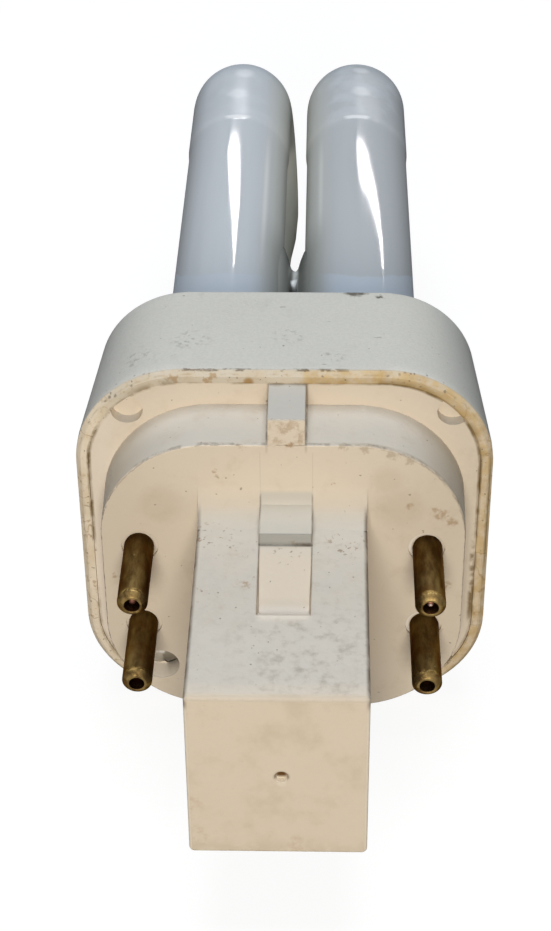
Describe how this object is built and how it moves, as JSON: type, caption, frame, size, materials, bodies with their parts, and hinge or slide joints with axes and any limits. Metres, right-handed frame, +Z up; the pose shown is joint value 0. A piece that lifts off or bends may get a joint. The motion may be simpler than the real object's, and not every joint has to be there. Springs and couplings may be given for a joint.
{
  "type": "plug-in compact fluorescent bulb",
  "caption": "Plug-in compact fluorescent bulb: coated glass U-tubes in a square collar, on a cap with hollow contact pins and a rectangular guide post.",
  "frame": {"origin": "on the floor, under the middle of the lamp's length and width, with the lamp lying on one flat of its collar", "axes": "+Y along the lamp from the guide post to the tube bends, +Z up, +X to the right as seen from the pins"},
  "size_m": [0.0338, 0.1052, 0.0337],
  "materials": {
    "coated_glass": "gloss",
    "collar_plastic": "satin",
    "cement": "matte",
    "cap_plastic": "satin",
    "pin_brass": "tarnished",
    "lead_wire": "satin"
  },
  "bodies": {
    "root": {"glass_envelope": "coated_glass", "tube_collar": "collar_plastic", "capping_cement": "cement", "base_cap": "cap_plastic", "contact_pin_upper_left": "pin_brass", "contact_pin_lower_left": "pin_brass", "contact_pin_upper_right": "pin_brass", "contact_pin_lower_right": "pin_brass", "lead_wire_upper_left": "lead_wire", "lead_wire_lower_left": "lead_wire", "lead_wire_upper_right": "lead_wire", "lead_wire_lower_right": "lead_wire"}
  },
  "joints": []
}
